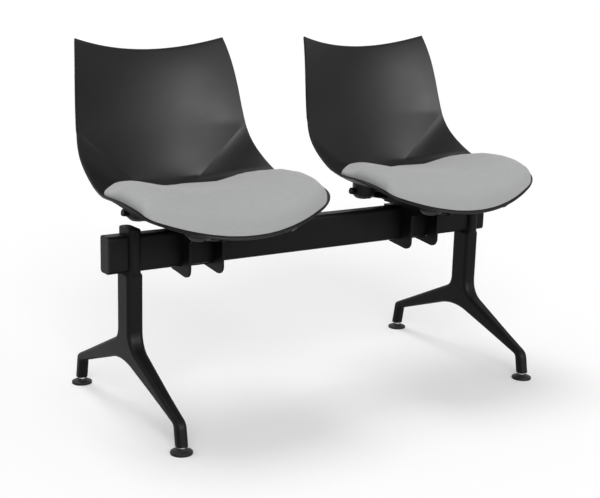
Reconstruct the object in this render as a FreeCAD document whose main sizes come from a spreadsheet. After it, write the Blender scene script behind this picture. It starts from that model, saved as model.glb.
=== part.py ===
"""Two-seat beam seating: a rectangular beam on two cast legs, with two shell seats clamped to it.

Millimetres. +Z is up, +X runs along the beam, -Y is the side that a sitter faces.
The origin is on the floor, under the middle of the space between the seats, halfway between
the front and the rear glides.
"""
import FreeCAD, Part

import math
import os

from FreeCAD import Placement, Rotation, Vector

doc = FreeCAD.newDocument("beam_seating")

# Driving dimensions, one cell each. Each entry is alias, value, meaning.
SIZES = [
    ("seat_pitch", 600, "distance between the seat centres"),
    ("leg_spacing", 937, "distance between the two legs"),
    ("front_foot", 231.6, "front glide axis, forward of the column"),
    ("rear_foot", 258, "rear glide axis, behind the column"),
    ("beam_bottom_height", 328, "underside of the beam above the floor"),
    ("beam_height", 80, "beam section height"),
    ("beam_depth", 40, "beam section depth"),
    ("beam_wall", 3, "beam wall"),
    ("beam_corner", 8, "beam outer corner radius"),
    ("left_overhang", 55.5, "beam end beyond the left leg's centre"),
    ("right_overhang", 37.5, "beam end beyond the right leg's centre"),
    ("cap_face", 3, "end cap face thickness"),
    ("cap_plug", 16, "end cap plug length"),
    ("cap_clearance", 0.2, "end cap plug to beam wall"),
    ("column_width", 37, "leg column along the beam"),
    ("column_depth", 56, "leg column front to back"),
    ("shoulder_height", 321, "column top, where the head begins"),
    ("head_width", 28, "leg head along the beam"),
    ("head_depth", 63, "leg head front to back"),
    ("head_cover", 13.5, "head above the beam"),
    ("head_rounding", 12, "leg head corner radius"),
    ("head_edge", 3, "head top edge radius"),
    ("beam_clearance", 0.15, "beam to the hole in the leg head"),
    ("stub_width", 24.4, "foot stub diameter"),
    ("taper_end", 90, "height below which the leg's sides are parallel"),
    ("taper_blend", 600, "radius where the leg's sides begin and end their taper"),
    ("stub_rounding", 9, "arm and stub edge radius"),
    ("stub_lean", 10, "outward lean of the foot stubs, degrees"),
    ("foot_gap", 16, "underside of the foot stub above the floor"),
    ("arm_drop_front", 170, "where the front arm's top line meets the column face"),
    ("arm_drop_rear", 181.5, "where the rear arm's top line meets the column face"),
    ("arm_slope_front", 26.8, "front arm's top line, degrees"),
    ("arm_slope_rear", 25, "rear arm's top line, degrees"),
    ("arch_height", 136.8, "where the two underside lines meet"),
    ("arch_offset", 20.5, "the same point, behind the column's centre"),
    ("arch_slope", 19.2, "underside lines, degrees"),
    ("arch_radius", 150, "radius at the top of the arch"),
    ("front_crook", 50, "radius between column and front arm"),
    ("rear_crook", 32, "radius between column and rear arm"),
    ("front_knee", 26, "outer radius of the front knee"),
    ("rear_knee", 14, "outer radius of the rear knee"),
    ("inner_knee", 9, "inner radius of the knees"),
    ("leg_screw_diameter", 8, "set screw through the head's rear wall"),
    ("leg_screw_spacing", 40, "distance between the two set screws"),
    ("thread_clearance", 0.05, "radial gap of a threaded fit"),
    ("insert_diameter", 12, "threaded insert in the foot stub"),
    ("insert_length", 18, "threaded insert length"),
    ("stud_diameter", 8, "glide stud"),
    ("stud_travel", 10, "how far a glide screws out"),
    ("stud_engagement", 16, "stud left in the leg when a glide is screwed right out"),
    ("hex_width", 13, "glide hex across flats"),
    ("hex_height", 4, "glide hex height"),
    ("hex_gap", 0.5, "hex to the foot stub when screwed right in"),
    ("glide_diameter", 46.5, "glide base"),
    ("glide_rim", 5, "glide base rim thickness"),
    ("glide_height", 9.5, "glide base height"),
    ("glide_collar", 27, "glide base collar diameter"),
    ("ball_diameter", 7.5, "ball at the foot of the stud"),
    ("ball_clearance", 0.08, "ball to its socket"),
    ("ball_sink", 0.75, "top of the ball below the top of the glide base"),
    ("neck_diameter", 4.6, "stud neck above the ball"),
    ("throat_clearance", 0.4, "stud neck to the mouth of the socket"),
    ("glide_foot_edge", 0.8, "edge radius under a glide base"),
    ("glide_rim_edge", 1.5, "edge radius at the top of a glide base's rim"),
    ("glide_collar_edge", 1, "edge radius of a glide base's collar"),
    ("stud_tip", 0.8, "chamfer on the stud's tip"),
    ("shell_wall", 5, "seat shell thickness"),
    ("shell_gap", 0.3, "pieces that follow the shell, to the shell"),
    ("wing_sag", 0.25, "how far the side facets sag from straight, as a share of a full curve"),
    ("rim_strip", 3, "narrow facet along the shell's edge"),
    ("pad_middle", 44, "seat pad thickness in the middle"),
    ("pad_edge", 15, "seat pad thickness at its edge"),
    ("pad_lip_inset", 5, "seat pad edge behind the shell's front lip"),
    ("board_thickness", 3.5, "stiffener board in the pad"),
    ("board_inset", 28, "stiffener board edge inside the pad edge"),
    ("clamp_offset", -15, "clamp centre from the seat centre, along the beam"),
    ("hook_spacing", 80.5, "distance between the two hook plates"),
    ("hook_thickness", 5, "hook plate"),
    ("hook_front", 57, "front edge of the hook, forward of the beam's centre"),
    ("hook_bottom", 306, "lowest point of the hook"),
    ("hook_reach", 24, "rear end of the hook's tongue, behind the beam's centre"),
    ("hook_rise", 9.5, "how far the tongue rises towards its rear end"),
    ("hook_corner", 19, "radius of the hook's lower front corner"),
    ("hook_top", 435.5, "top edge of the hook plate"),
    ("hook_belly", 44, "depth of the hook plate's front arm where it meets the hook"),
    ("hook_belly_radius", 10, "radius where the front arm meets the hook"),
    ("hook_end_radius", 5, "corner radius at the ends of the hook plate's arms"),
    ("hook_tongue_radius", 4, "corner radius at the end of the tongue"),
    ("hook_tongue_lean", 4, "how far the tongue's end leans rearwards"),
    ("hook_inner_radius", 2, "radius in the hook's corners round the beam"),
    ("hook_ahead", 196, "hook plate's front end, forward of the beam's centre"),
    ("arm_end_height", 17, "height of the hook plate's arms at their ends"),
    ("hook_behind", 92, "hook plate's rear end, behind the beam's centre"),
    ("tube_diameter", 16, "cross tube"),
    ("tube_wall", 2, "cross tube wall"),
    ("tube_height", 425.5, "cross tube axis between the hook plates"),
    ("tube_straight", 142, "straight middle of a cross tube"),
    ("tube_bend", 60, "bend radius of a cross tube"),
    ("front_tube_reach", 180, "front cross tube, forward of the beam's centre"),
    ("front_tube_length", 262, "front cross tube, end to end"),
    ("front_tube_rise", 17, "rise of the front cross tube's ends"),
    ("rear_tube_reach", 50, "rear cross tube, behind the beam's centre"),
    ("rear_tube_length", 318, "rear cross tube, end to end"),
    ("rear_tube_rise", 17.5, "rise of the rear cross tube's ends"),
    ("tube_clearance", 0.1, "cross tube to the holes it passes"),
    ("plug_length", 8, "tube cap plug length"),
    ("plug_face", 2.5, "tube cap face thickness"),
    ("cup_diameter", 55, "domed mount cup"),
    ("front_cup_place", 101.5, "front cups from the seat centre"),
    ("rear_cup_place", 122, "rear cups from the seat centre"),
    ("cup_bottom", 423, "lowest point of a mount cup"),
    ("cup_dome", 9, "height of the dome under a mount cup"),
    ("cup_screw_diameter", 5, "mount cup screw"),
    ("cup_screw_spacing", 36, "distance between a cup's two screws"),
    ("cup_screw_seat", 431, "underside of the cup screw's head"),
    ("pad_screw_diameter", 4, "seat pad screw"),
    ("pad_screw_across", 150, "distance between pad screws, side to side"),
    ("pad_screw_front", 120, "front pad screws, forward of the beam's centre"),
    ("pad_screw_rear", 10, "rear pad screws, forward of the beam's centre"),
    ("screw_head", 1.8, "screw head diameter over screw diameter"),
    ("screw_head_height", 0.5, "screw head height over screw diameter"),
    ("bridge_thickness", 5, "clamp bridge plate and keeper"),
    ("bridge_gap", 0.3, "clamp pieces to the beam"),
    ("bridge_ahead", 16, "bridge's front edge, forward of the beam's centre"),
    ("bridge_behind", 60, "bridge's rear edge, behind the beam's centre"),
    ("keeper_flange", 32, "keeper's bolt flange depth"),
    ("keeper_flange_height", 397, "underside of the keeper's bolt flange"),
    ("keeper_lip", 24, "keeper's lip under the beam"),
    ("keeper_bend", 1, "inner radius of the keeper's bends"),
    ("bridge_corner", 3, "corner radius of the clamp bridge"),
    ("bolt_diameter", 8, "clamp bolt"),
    ("bolt_hole_clearance", 0.5, "radial gap of a bolt in its hole"),
    ("bolt_spacing", 44, "distance between the two clamp bolts"),
    ("bolt_reach", 38, "clamp bolts, behind the beam's centre"),
    ("bolt_head_width", 13, "bolt head and nut across flats"),
    ("bolt_head_height", 4.6, "bolt head height"),
    ("nut_height", 6.5, "nut height"),
    ("bolt_tip", 2, "bolt end below its nut"),
]

sheet = doc.addObject("Spreadsheet::Sheet", "sizes")
for row, (alias, value, meaning) in enumerate(SIZES, start=1):
    sheet.set(f"A{row}", meaning)
    sheet.set(f"B{row}", str(value))
    sheet.setAlias(f"B{row}", alias)
doc.recompute()


def mm(alias):
    """The value of one driving dimension."""
    return float(sheet.get(alias))


# The column stands forward of the middle of the feet, so that the origin lies midway between them.
COLUMN_Y = (mm("front_foot") - mm("rear_foot")) / 2
SIDES = {"left": -1, "right": 1}
BEAM_TOP = mm("beam_bottom_height") + mm("beam_height")
BEAM_MIDDLE = mm("beam_bottom_height") + mm("beam_height") / 2
BEAM_START = -mm("leg_spacing") / 2 - mm("left_overhang")
BEAM_END = mm("leg_spacing") / 2 + mm("right_overhang")

pieces = []


def keep(piece):
    """Register a finished piece, whose label names its node."""
    pieces.append(piece)
    return piece


def shape_piece(label, shape, place=None):
    """A piece whose shape is worked out here, with its own placement."""
    piece = doc.addObject("Part::Feature", label)
    piece.Shape = shape
    piece.Placement = place or Placement()
    return keep(piece)


# Outlines with rounded corners

def along_yz(u, v):
    return Vector(0, u, v)


def along_xy(u, v):
    return Vector(u, v, 0)


def along_xz(u, v):
    return Vector(u, 0, v)


def outline(corners, place):
    """Lines and arcs round a closed outline of corners (u, v, radius)."""
    turns = []
    for i, (u, v, radius) in enumerate(corners):
        corner = Vector(u, v, 0)
        u_before, v_before, _ = corners[i - 1]
        u_after, v_after, _ = corners[(i + 1) % len(corners)]
        to_before = (Vector(u_before, v_before, 0) - corner).normalize()
        to_after = (Vector(u_after, v_after, 0) - corner).normalize()
        half_angle = to_before.getAngle(to_after) / 2
        if radius == 0:
            turns.append((corner, None, corner))
            continue
        reach = radius / math.tan(half_angle)
        inwards = (to_before + to_after).normalize()
        middle = corner + inwards * (radius / math.sin(half_angle) - radius)
        turns.append((corner + to_before * reach, middle, corner + to_after * reach))
    geometry = []
    for i, (start, middle, end) in enumerate(turns):
        if middle is not None:
            geometry.append(Part.Arc(place(*start[:2]), place(*middle[:2]), place(*end[:2])))
        following = turns[(i + 1) % len(turns)][0]
        if end.distanceToPoint(following) > 1e-6:
            geometry.append(Part.LineSegment(place(*end[:2]), place(*following[:2])))
    return geometry


def outline_wire(corners, place):
    return Part.Wire(Part.__sortEdges__([piece.toShape() for piece in outline(corners, place)]))


def box_corners(u_low, v_low, u_high, v_high, radius):
    corners = [(u_low, v_low), (u_high, v_low), (u_high, v_high), (u_low, v_high)]
    return [(u, v, radius) for u, v in corners]


def extruded(corners, place, direction):
    return Part.Face(outline_wire(corners, place)).extrude(direction)


def sketch_body(label, role, loops, length, offset):
    """A body made by padding a sketch, whose length and offset are expressions over the sheet."""
    body = doc.addObject("PartDesign::Body", label)
    plane = next(item for item in body.Origin.OriginFeatures if item.Role == role)
    sketch = body.newObject("Sketcher::SketchObject", label + "_outline")
    sketch.AttachmentSupport = (plane, [""])
    sketch.MapMode = "FlatFace"
    for loop in loops:
        for geometry in outline(loop, along_xy):
            sketch.addGeometry(geometry, False)
    pad = body.newObject("PartDesign::Pad", label + "_pad")
    pad.Profile = sketch
    pad.setExpression("Length", length)
    body.Tip = pad
    body.setExpression("Placement.Base.x", offset)
    return keep(body)


def cylinder(radius, height, base, direction=Vector(0, 0, 1)):
    return Part.makeCylinder(radius, height, base, direction)


def hexagon(width, height, base):
    """A hexagonal prism standing on base, width across flats."""
    corner = Vector(width / math.sqrt(3), 0, 0)
    points = [base + Rotation(Vector(0, 0, 1), 60 * k).multVec(corner) for k in range(7)]
    return Part.Face(Part.makePolygon(points)).extrude(Vector(0, 0, height))


# Beam and end caps

def make_beam():
    half_depth = mm("beam_depth") / 2
    wall = mm("beam_wall")
    outside = box_corners(
        COLUMN_Y - half_depth, mm("beam_bottom_height"), COLUMN_Y + half_depth, BEAM_TOP, mm("beam_corner")
    )
    inside = box_corners(
        COLUMN_Y - half_depth + wall,
        mm("beam_bottom_height") + wall,
        COLUMN_Y + half_depth - wall,
        BEAM_TOP - wall,
        mm("beam_corner") - wall,
    )
    sketch_body(
        "beam_tube",
        "YZ_Plane",
        [outside, inside],
        "sizes.leg_spacing + sizes.left_overhang + sizes.right_overhang",
        "-sizes.leg_spacing / 2 - sizes.left_overhang",
    )


def make_end_cap(side):
    sign = SIDES[side]
    end = BEAM_START if sign < 0 else BEAM_END
    half_depth = mm("beam_depth") / 2
    inset = mm("beam_wall") + mm("cap_clearance")
    outside = box_corners(
        COLUMN_Y - half_depth, mm("beam_bottom_height"), COLUMN_Y + half_depth, BEAM_TOP, mm("beam_corner")
    )
    inside = box_corners(
        COLUMN_Y - half_depth + inset,
        mm("beam_bottom_height") + inset,
        COLUMN_Y + half_depth - inset,
        BEAM_TOP - inset,
        mm("beam_corner") - mm("beam_wall"),
    )
    face = extruded(outside, along_yz, Vector(sign * mm("cap_face"), 0, 0))
    rounded = [edge for edge in face.Edges if abs(edge.BoundBox.Center.x - sign * mm("cap_face")) < 0.01]
    face = face.makeFillet(mm("cap_face") / 2, rounded)
    plug = extruded(inside, along_yz, Vector(-sign * mm("cap_plug"), 0, 0))
    shape_piece(side + "_end_cap", face.fuse(plug).removeSplitter(), Placement(Vector(end, 0, 0), Rotation()))


# Cast legs

def foot_lines():
    """Corners of the leg's side view, from the rear of the column round to its front."""
    half_depth = mm("column_depth") / 2
    lean = math.tan(math.radians(mm("stub_lean")))
    arch = math.tan(math.radians(mm("arch_slope")))

    def crossing(edge_y, top_y, top_z, slope):
        """Where a stub's edge, upright but leaning out, meets an arm's line; y is measured outwards."""
        height = (top_z - slope * (edge_y + lean * mm("foot_gap") - top_y)) / (1 - slope * lean)
        return edge_y - lean * (height - mm("foot_gap")), height

    def one_side(foot, drop, slope_degrees, crook, knee, arch_side):
        slope = math.tan(math.radians(slope_degrees))
        outer = foot + mm("stub_width") / 2
        inner = foot - mm("stub_width") / 2
        knee_y, knee_z = crossing(outer, half_depth, drop, slope)
        inner_y, inner_z = crossing(inner, arch_side, mm("arch_height"), arch)
        return [
            (half_depth, mm("shoulder_height"), 0),
            (half_depth, drop, crook),
            (knee_y, knee_z, knee),
            (outer, mm("foot_gap"), 0),
            (inner, mm("foot_gap"), 0),
            (inner_y, inner_z, mm("inner_knee")),
        ]

    rear = one_side(
        mm("rear_foot"),
        mm("arm_drop_rear"),
        mm("arm_slope_rear"),
        mm("rear_crook"),
        mm("rear_knee"),
        mm("arch_offset"),
    )
    front = one_side(
        mm("front_foot"),
        mm("arm_drop_front"),
        mm("arm_slope_front"),
        mm("front_crook"),
        mm("front_knee"),
        -mm("arch_offset"),
    )
    apex = [(mm("arch_offset"), mm("arch_height"), mm("arch_radius"))]
    return rear + apex + [(-y, z, radius) for y, z, radius in reversed(front)]


def leg_taper():
    """The leg's front view, full width at the column and narrow at the feet."""
    wide = mm("column_width") / 2
    narrow = mm("stub_width") / 2
    knee_height = mm("taper_end")
    right = [
        (narrow, mm("foot_gap"), 0),
        (narrow, knee_height, mm("taper_blend")),
        (wide, mm("arm_drop_rear"), mm("taper_blend")),
        (wide, mm("shoulder_height"), 0),
    ]
    return right + [(-x, z, radius) for x, z, radius in reversed(right)]


def level_oval(width, depth, rounding, height):
    """A level wire of a rectangle with rounded corners."""
    wire = outline_wire(box_corners(-width / 2, -depth / 2, width / 2, depth / 2, rounding), along_xy)
    wire.translate(Vector(0, 0, height))
    return wire


def runs_along_x(edge):
    box = edge.BoundBox
    return box.XLength > 2 * max(box.YLength, box.ZLength)


def leg_body():
    """Column, arms and foot stubs in one casting, with rounded edges."""
    reach = mm("front_foot") + mm("rear_foot")
    side_view = extruded(foot_lines(), along_yz, Vector(mm("column_width"), 0, 0))
    side_view.translate(Vector(-mm("column_width") / 2, 0, 0))
    front_view = extruded(leg_taper(), along_xz, Vector(0, 2 * reach, 0))
    front_view.translate(Vector(0, -reach, 0))
    body = side_view.common(front_view).removeSplitter()
    rounded = []
    for edge in body.Edges:
        box = edge.BoundBox
        flat_top = box.ZMin > mm("shoulder_height") - 1
        flat_foot = box.ZMax < mm("foot_gap") + 1
        if not (flat_top or flat_foot or runs_along_x(edge)):
            rounded.append(edge)
    return body.makeFillet(mm("stub_rounding"), rounded)


def head_shape():
    """The narrower head that holds the beam, blended into the column's top."""
    top = BEAM_TOP + mm("head_cover")
    neck = mm("beam_bottom_height")
    column_top = level_oval(
        mm("column_width"), mm("column_depth"), mm("stub_rounding"), mm("shoulder_height")
    )
    head_foot = level_oval(mm("head_width"), mm("head_depth"), mm("head_rounding"), neck)
    blend = Part.makeLoft([column_top, head_foot], True)
    head = Part.Face(head_foot).extrude(Vector(0, 0, top - neck))
    top_edges = [edge for edge in head.Edges if edge.BoundBox.ZMin > top - 0.01]
    return head.makeFillet(mm("head_edge"), top_edges).fuse(blend)


def foot_axes():
    """The glides' Y positions, named by where they stand."""
    return {"front": COLUMN_Y - mm("front_foot"), "rear": COLUMN_Y + mm("rear_foot")}


def make_leg(side):
    """One leg, bored for the beam, the set screws and the glides' threaded inserts."""
    half_depth = mm("beam_depth") / 2 + mm("beam_clearance")
    beam_hole = extruded(
        box_corners(
            -half_depth,
            mm("beam_bottom_height") - mm("beam_clearance"),
            half_depth,
            BEAM_TOP + mm("beam_clearance"),
            mm("beam_corner") + mm("beam_clearance"),
        ),
        along_yz,
        Vector(2 * mm("column_width"), 0, 0),
    )
    beam_hole.translate(Vector(-mm("column_width"), 0, 0))
    leg = leg_body().fuse(head_shape()).removeSplitter().cut(beam_hole)
    for height in leg_screw_heights():
        leg = leg.cut(cylinder(mm("leg_screw_diameter") / 2 + mm("thread_clearance"), mm("head_depth"),
                               Vector(0, 0, height), Vector(0, 1, 0)))
    for foot_y in foot_axes().values():
        foot = Vector(0, foot_y - COLUMN_Y, mm("foot_gap") - 1)
        leg = leg.cut(cylinder(mm("insert_diameter") / 2, mm("insert_length") + 1, foot))
        bore = mm("stud_diameter") / 2 + mm("thread_clearance")
        leg = leg.cut(cylinder(bore, stud_top() + 1 - foot.z, foot))
    place = Placement(Vector(SIDES[side] * mm("leg_spacing") / 2, COLUMN_Y, 0), Rotation())
    shape_piece(side + "_leg", leg.removeSplitter(), place)


def leg_screw_heights():
    return [BEAM_MIDDLE - mm("leg_screw_spacing") / 2, BEAM_MIDDLE + mm("leg_screw_spacing") / 2]


def make_leg_screws(side):
    """Socket set screws through the head's rear wall, bearing on the beam."""
    start = mm("beam_depth") / 2
    length = mm("head_depth") / 2 - start - 1
    radius = mm("leg_screw_diameter") / 2
    screws = []
    for height in leg_screw_heights():
        screw = cylinder(radius, length, Vector(0, start, height), Vector(0, 1, 0))
        socket = hexagon(radius, radius, Vector(0, 0, 0))
        socket.rotate(Vector(0, 0, 0), Vector(1, 0, 0), -90)
        socket.translate(Vector(0, start + length - radius + 0.01, height))
        screws.append(screw.cut(socket))
    place = Placement(Vector(SIDES[side] * mm("leg_spacing") / 2, COLUMN_Y, 0), Rotation())
    shape_piece(side + "_leg_screws", Part.makeCompound(screws), place)


def make_leg_inserts(side):
    """Threaded inserts in the foot stubs."""
    inserts = []
    for foot_y in foot_axes().values():
        base = Vector(0, foot_y, mm("foot_gap"))
        insert = cylinder(mm("insert_diameter") / 2, mm("insert_length"), base)
        bore = mm("stud_diameter") / 2 + mm("thread_clearance")
        inserts.append(insert.cut(cylinder(bore, mm("insert_length"), base)))
    place = Placement(Vector(SIDES[side] * mm("leg_spacing") / 2, 0, 0), Rotation())
    shape_piece(side + "_leg_inserts", Part.makeCompound(inserts), place)


# Levelling glides

def hex_bottom():
    return mm("foot_gap") - mm("hex_gap") - mm("hex_height")


def stud_length():
    """The threaded length above a glide's hex."""
    return mm("stud_travel") + mm("stud_engagement")


def stud_top():
    return mm("foot_gap") - mm("hex_gap") + stud_length()


def ball_height():
    return mm("glide_height") - mm("ball_sink") - mm("ball_diameter") / 2


def make_glide(side, end):
    """A round base with a ball socket, and the threaded stud whose ball sits in it."""
    place = Placement(Vector(SIDES[side] * mm("leg_spacing") / 2, foot_axes()[end], 0), Rotation())
    rim = mm("glide_diameter") / 2
    collar = mm("glide_collar") / 2
    profile = [
        (0, 0, 0),
        (rim, 0, mm("glide_foot_edge")),
        (rim, mm("glide_rim"), mm("glide_rim_edge")),
        (collar, mm("glide_height"), mm("glide_collar_edge")),
        (0, mm("glide_height"), 0),
    ]
    base = Part.Face(outline_wire(profile, along_xz)).revolve(Vector(0, 0, 0), Vector(0, 0, 1), 360)
    centre = Vector(0, 0, ball_height())
    ball = mm("ball_diameter") / 2
    socket = Part.makeSphere(ball + mm("ball_clearance"), centre)
    throat = cylinder(mm("neck_diameter") / 2 + mm("throat_clearance"), mm("glide_height"), centre)
    shape_piece(f"{side}_{end}_glide_base", base.cut(socket.fuse(throat)), place)

    neck = cylinder(mm("neck_diameter") / 2, hex_bottom() - centre.z, centre)
    nut = hexagon(mm("hex_width"), mm("hex_height"), Vector(0, 0, hex_bottom()))
    thread_base = hex_bottom() + mm("hex_height")
    thread = cylinder(mm("stud_diameter") / 2, stud_length(), Vector(0, 0, thread_base))
    tip = [edge for edge in thread.Edges if edge.BoundBox.ZMin > stud_top() - 0.01]
    thread = thread.makeChamfer(mm("stud_tip"), tip)
    stud = Part.makeSphere(ball, centre).fuse(neck).fuse(nut).fuse(thread)
    shape_piece(f"{side}_{end}_glide_stud", stud.removeSplitter(), place)


# Seat shell, as sections across the seat from the top of the back to the front lip.
# Two curves guide them: the shell's centre line (y, z), and its rim (x, y, z).
# Both are measured from the seat's centre and the beam's centre.

CENTRE_LINE = [
    (261, 771),
    (226, 690),
    (198, 604),
    (176, 540),
    (152, 482),
    (112, 452),
    (50, 443.5),
    (-40, 448),
    (-130, 456),
    (-198, 447),
    (-230, 425),
]
RIM = [
    (184, 231, 798.5),
    (201.8, 191, 697),
    (211.3, 166.5, 606),
    (219.6, 126.5, 549.5),
    (224.8, 62.6, 512),
    (230, 25, 502),
    (237.5, -20, 498),
    (243, -69, 500),
    (242, -120, 494.5),
    (230.5, -159, 483),
    (197.5, -187, 463),
]
CREASE_START = Vector(*RIM[2])
CREASE_END = Vector(70.4, 150.7, 478)
# The seat pad's rear edge crosses the seat (x, y), and its sides lie inside the rim (station, distance).
PAD_REAR = [(0, 114), (57, 98), (107, 87), (156, 64), (203, 24), (230, -9)]
PAD_SIDES = [(7, 14), (8, 17), (9, 11)]
PAD_START = 4
PAD_REAR_SPANS = 2
STEPS_PER_SPAN = 3
HALF_POINTS = 6
WING_POINTS = 3


def curve_through(points):
    """A smooth curve that reaches point k at parameter k."""
    curve = Part.BSplineCurve()
    curve.interpolate(Points=points, Parameters=[float(k) for k in range(len(points))])
    return curve


centre_curve = curve_through([Vector(0, y, z) for y, z in CENTRE_LINE])
rim_curve = curve_through([Vector(*point) for point in RIM])


def crease_point(middle, rim, rise):
    """Where the fold crosses a section: at the rim above it, and at its lower end's width below it."""
    if middle.z > CREASE_START.z - mm("shell_wall"):
        strip = 1 - mm("rim_strip") / rim.x
        return rim.x * strip, (rim - middle).dot(rise) * strip ** 2
    if middle.z < CREASE_END.z:
        return CREASE_END.x, (rim - middle).dot(rise) * (CREASE_END.x / rim.x) ** 2
    normal = Vector(1, 0, 0).cross(rise)
    along = CREASE_END - CREASE_START
    share = (middle - CREASE_START).dot(normal) / along.dot(normal)
    point = CREASE_START + along * share
    return point.x, (point - middle).dot(rise)


def section_points(station):
    """Points across the shell's upper face from rim to rim, in the plane of the X axis and the rim."""
    middle = centre_curve.value(station)
    rim = rim_curve.value(station)
    rise = Vector(0, rim.y - middle.y, rim.z - middle.z)
    rim_height = rise.Length
    rise.normalize()
    crease_x, crease_height = crease_point(middle, rim, rise)
    half = []
    inner_steps = HALF_POINTS - WING_POINTS
    for k in range(inner_steps + 1):
        share = k / inner_steps
        half.append((crease_x * share, crease_height * share ** 2))
    folded = crease_x > CREASE_END.x + 1
    for k in range(1, WING_POINTS + 1):
        share = k / WING_POINTS
        x = crease_x + (rim.x - crease_x) * share
        straight = crease_height + (rim_height - crease_height) * share
        curved = rim_height * (x / rim.x) ** 2
        half.append((x, straight + (curved - straight) * (mm("wing_sag") if folded else 1)))
    whole = [(-x, height) for x, height in reversed(half[1:])] + half
    return [middle + Vector(x, COLUMN_Y, 0) + rise * height for x, height in whole]


STATIONS = [k / STEPS_PER_SPAN for k in range((len(RIM) - 1) * STEPS_PER_SPAN + 1)]
surface = [section_points(station) for station in STATIONS]


def surface_normal(row, column):
    """The shell's unit normal on the sitter's side."""
    before, after = surface[max(row - 1, 0)][column], surface[min(row + 1, len(surface) - 1)][column]
    across = surface[row]
    left, right = across[max(column - 1, 0)], across[min(column + 1, len(across) - 1)]
    return (right - left).cross(before - after).normalize()


def offset_rows(first_station, offset):
    """The shell's upper face moved along its normals."""
    rows = []
    for row, station in enumerate(STATIONS):
        if station >= first_station:
            across = enumerate(surface[row])
            rows.append([point + surface_normal(row, column) * offset for column, point in across])
    return rows


def lifted_rows(first_station, lift):
    """The shell's upper face moved upwards by lift(share of the half width, station)."""
    rows = []
    for row, station in enumerate(STATIONS):
        if station >= first_station:
            half_width = surface[row][-1].x
            heights = [lift(abs(point.x) / half_width, station) for point in surface[row]]
            rows.append([point + Vector(0, 0, height) for point, height in zip(surface[row], heights)])
    return rows


def row_edges(points):
    """Three curves from rim to rim: wing, middle, wing."""
    last = len(points) - 1
    spans = [(0, WING_POINTS), (WING_POINTS, last - WING_POINTS), (last - WING_POINTS, last)]
    return [curve_through(points[start:end + 1]).toShape() for start, end in spans]


def solid_between(low_rows, high_rows):
    """A closed solid between two faces given as rows of points."""
    low_edges = [row_edges(points) for points in low_rows]
    high_edges = [row_edges(points) for points in high_rows]
    faces = []
    for edges in (low_edges, high_edges):
        for near, far in zip(edges, edges[1:]):
            faces.extend(Part.makeRuledSurface(first, second) for first, second in zip(near, far))
    for row in (0, -1):
        faces.extend(Part.makeRuledSurface(low, high) for low, high in zip(low_edges[row], high_edges[row]))
    for k in range(len(low_rows) - 1):
        for column in (0, -1):
            low_side = Part.makeLine(low_rows[k][column], low_rows[k + 1][column])
            high_side = Part.makeLine(high_rows[k][column], high_rows[k + 1][column])
            faces.append(Part.makeRuledSurface(low_side, high_side))
    shell = Part.Shell(faces)
    shell.sewShape()
    solid = Part.Solid(Part.Shell(shell.Faces))
    if solid.Volume < 0:
        solid.reverse()
    return solid


def seat_layer(lift):
    """A solid that lies on the seat, with its upper face at lift above the shell."""
    return solid_between(offset_rows(PAD_START, mm("shell_gap")), lifted_rows(PAD_START, lift))


def pad_side(inset):
    """Half of the pad's plan view, drawn in by inset, from the middle behind to the middle of the lip."""
    rear = [Vector(x, y + COLUMN_Y, 0) for x, y in PAD_REAR]
    rim = [rim_curve.value(station) + Vector(0, COLUMN_Y, 0) for station, _ in PAD_SIDES]
    lip = surface[-1][:HALF_POINTS:-1] + [surface[-1][HALF_POINTS]]
    line = [Vector(point.x, point.y, 0) for point in rear + rim + lip]
    insets = [0] * len(rear) + [distance for _, distance in PAD_SIDES] + [mm("pad_lip_inset")] * len(lip)
    moved = []
    for k, point in enumerate(line):
        before = line[k - 1] if k > 0 else Vector(-line[1].x, line[1].y, 0)
        after = line[k + 1] if k + 1 < len(line) else Vector(-before.x, before.y, 0)
        inwards = Vector(0, 0, 1).cross(before - after).normalize()
        moved.append(point + inwards * (insets[k] + inset))
    return moved


def pad_column(inset):
    """An upright column over the pad's plan view."""
    side = pad_side(inset)
    mirrored = [Vector(-point.x, point.y, 0) for point in reversed(side[1:-1])]
    edge = Part.BSplineCurve()
    edge.interpolate(Points=side + mirrored, PeriodicFlag=True)
    column = Part.Face(Part.Wire([edge.toShape()])).extrude(Vector(0, 0, mm("seat_pitch")))
    column.translate(Vector(0, 0, mm("cup_bottom")))
    return column


def biggest(shape):
    return max(shape.Solids, key=lambda solid: solid.Volume)


def lowest(shape):
    return min(shape.Solids, key=lambda solid: solid.CenterOfMass.z)


def board_lift(share, station):
    return mm("shell_gap") + mm("board_thickness")


def board_room_lift(share, station):
    return 2 * mm("shell_gap") + mm("board_thickness")


def crowned(share, station):
    """Height of the pad's upper face over the shell: full in the middle, thinner towards its edges."""
    forward = max(0, (station - PAD_START) / (len(RIM) - 1 - PAD_START))
    onto_seat = min(1, max(0, (station - PAD_START) / PAD_REAR_SPANS))
    rear_ramp = onto_seat ** 2 * (3 - 2 * onto_seat)
    crown = (1 - share ** 8) * (1 - forward ** 8) * rear_ramp
    return mm("pad_edge") + (mm("pad_middle") - mm("pad_edge")) * crown


def shell_height(shell, x, y):
    """The shell's lower and upper face over a point."""
    line = Part.makeLine(Vector(x, y, mm("beam_bottom_height")), Vector(x, y, 2 * mm("beam_bottom_height")))
    heights = [vertex.Point.z for vertex in shell.common(line).Vertexes]
    return min(heights), min(max(heights), min(heights) + 2 * mm("shell_wall"))


# Cross tubes, cups and clamps under a seat

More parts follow.
